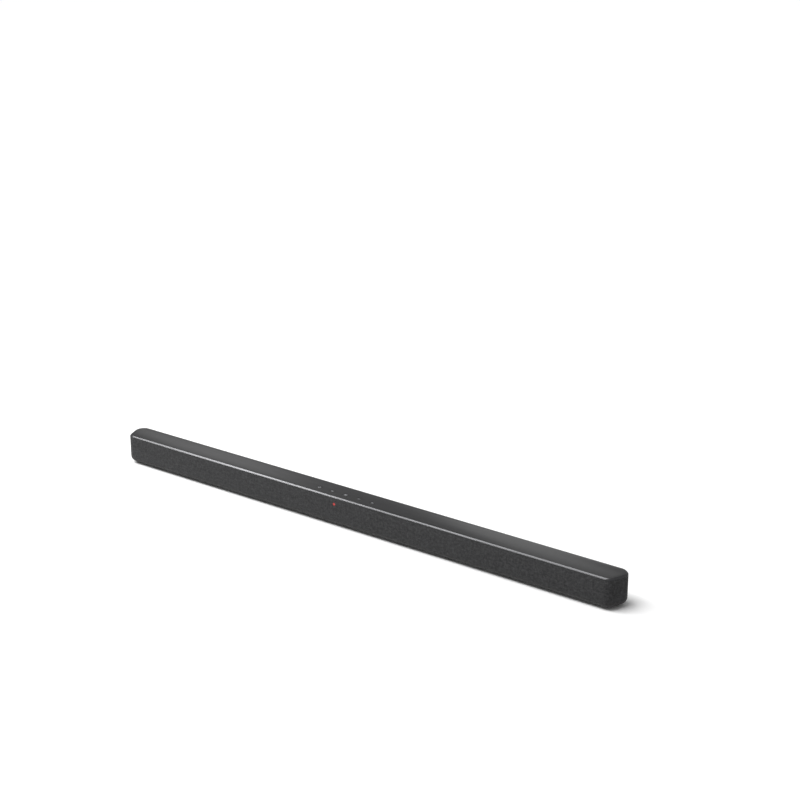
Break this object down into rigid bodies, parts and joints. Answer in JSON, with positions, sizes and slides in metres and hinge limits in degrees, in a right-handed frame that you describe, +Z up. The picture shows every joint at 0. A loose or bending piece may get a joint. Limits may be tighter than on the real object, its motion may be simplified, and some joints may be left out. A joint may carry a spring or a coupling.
{
  "type": "soundbar",
  "caption": "Slim fabric-wrapped soundbar with a chamfered satin top, flush push keys, a lamp behind the cloth and sockets in a rear recess.",
  "frame": {"origin": "middle of the footprint, on the surface the bar stands on", "axes": "+X along the bar to the right of somebody facing its front, +Y from front to back, +Z up"},
  "size_m": [0.9, 0.043, 0.047],
  "materials": {
    "cover_plastic": "fine satin texture",
    "grille_cloth": "close two-tone weave",
    "inner_plastic": "plain moulded",
    "cabinet_plastic": "spark texture",
    "foam": "closed-cell foam",
    "plated_steel": "tin plated",
    "socket_plastic": "moulded",
    "contact_brass": "machined",
    "circuit_board": "solder mask",
    "sink_aluminium": "extruded",
    "chip_plastic": "moulded",
    "transformer_tape": "tape",
    "capacitor_sleeve": "shrunk sleeve",
    "lamp_red": "tinted clear",
    "foot_rubber": "matt",
    "screw_steel": "zinc, blackened",
    "lead_sleeve": "soft sleeve",
    "surround_rubber": "matt",
    "cone_paper": "pressed pulp",
    "coil_copper": "wound wire",
    "magnet_iron": "plated plates, bare ferrite"
  },
  "bodies": {
    "bar": {"top_cover": "cover_plastic", "grille_fabric": "grille_cloth", "grille_frame": "inner_plastic", "cabinet": "cabinet_plastic", "baffle": "inner_plastic", "baffle_gasket": "foam", "io_bay": "cabinet_plastic", "hdmi_socket": "plated_steel", "optical_socket": "socket_plastic", "aux_jack": "socket_plastic", "usb_socket": "plated_steel", "power_inlet": "socket_plastic", "inlet_pins": "contact_brass", "main_board": "circuit_board", "heat_sink": "sink_aluminium", "amplifier_chips": "chip_plastic", "radio_module": "plated_steel", "power_board": "circuit_board", "transformer": "transformer_tape", "capacitors": "capacitor_sleeve", "key_board": "circuit_board", "tact_switches": "chip_plastic", "display_board": "circuit_board", "lamp_lens": "lamp_red", "remote_receiver": "chip_plastic", "feet": "foot_rubber", "wall_inserts": "contact_brass", "cover_screws": "screw_steel", "baffle_screws": "screw_steel", "driver_screws": "screw_steel", "board_screws": "screw_steel", "speaker_leads_left": "lead_sleeve", "speaker_leads_right": "lead_sleeve", "board_leads": "lead_sleeve", "driver_1_basket": "inner_plastic", "driver_1_suspension": "surround_rubber", "driver_1_motor": "magnet_iron", "driver_2_basket": "inner_plastic", "driver_2_suspension": "surround_rubber", "driver_2_motor": "magnet_iron", "driver_3_basket": "inner_plastic", "driver_3_suspension": "surround_rubber", "driver_3_motor": "magnet_iron", "driver_4_basket": "inner_plastic", "driver_4_suspension": "surround_rubber", "driver_4_motor": "magnet_iron"},
    "power_key": {"key_power": "cover_plastic"},
    "source_key": {"key_source": "cover_plastic"},
    "pairing_key": {"key_pairing": "cover_plastic"},
    "volume_down_key": {"key_volume_down": "cover_plastic"},
    "volume_up_key": {"key_volume_up": "cover_plastic"},
    "moving_cone_1": {"driver_1_cone": "cone_paper", "driver_1_voice_coil": "coil_copper"},
    "moving_cone_2": {"driver_2_cone": "cone_paper", "driver_2_voice_coil": "coil_copper"},
    "moving_cone_3": {"driver_3_cone": "cone_paper", "driver_3_voice_coil": "coil_copper"},
    "moving_cone_4": {"driver_4_cone": "cone_paper", "driver_4_voice_coil": "coil_copper"},
    "optical_flap": {"optical_shutter": "socket_plastic"}
  },
  "joints": [
    {"name": "power_key_press", "type": "slide", "parent": "bar", "child": "power_key", "axis": [0, 0, -1], "range_m": [0, 0.0005], "stiffness_N_per_m": 1500},
    {"name": "source_key_press", "type": "slide", "parent": "bar", "child": "source_key", "axis": [0, 0, -1], "range_m": [0, 0.0005], "stiffness_N_per_m": 1500},
    {"name": "pairing_key_press", "type": "slide", "parent": "bar", "child": "pairing_key", "axis": [0, 0, -1], "range_m": [0, 0.0005], "stiffness_N_per_m": 1500},
    {"name": "volume_down_key_press", "type": "slide", "parent": "bar", "child": "volume_down_key", "axis": [0, 0, -1], "range_m": [0, 0.0005], "stiffness_N_per_m": 1500},
    {"name": "volume_up_key_press", "type": "slide", "parent": "bar", "child": "volume_up_key", "axis": [0, 0, -1], "range_m": [0, 0.0005], "stiffness_N_per_m": 1500},
    {"name": "cone_1_travel", "type": "slide", "parent": "bar", "child": "moving_cone_1", "axis": [0, -1, 0], "range_m": [-0.0012, 0.0012], "stiffness_N_per_m": 900, "deforming": ["driver_1_suspension"]},
    {"name": "cone_2_travel", "type": "slide", "parent": "bar", "child": "moving_cone_2", "axis": [0, -1, 0], "range_m": [-0.0012, 0.0012], "stiffness_N_per_m": 900, "deforming": ["driver_2_suspension"]},
    {"name": "cone_3_travel", "type": "slide", "parent": "bar", "child": "moving_cone_3", "axis": [0, -1, 0], "range_m": [-0.0012, 0.0012], "stiffness_N_per_m": 900, "deforming": ["driver_3_suspension"]},
    {"name": "cone_4_travel", "type": "slide", "parent": "bar", "child": "moving_cone_4", "axis": [0, -1, 0], "range_m": [-0.0012, 0.0012], "stiffness_N_per_m": 900, "deforming": ["driver_4_suspension"]},
    {"name": "optical_flap_swing", "type": "hinge", "parent": "bar", "child": "optical_flap", "pos_m": [0.062, 0.0083, 0.0241], "axis": [-1, 0, 0], "range_deg": [0, 78], "stiffness_Nm_per_rad": 0.00001}
  ]
}
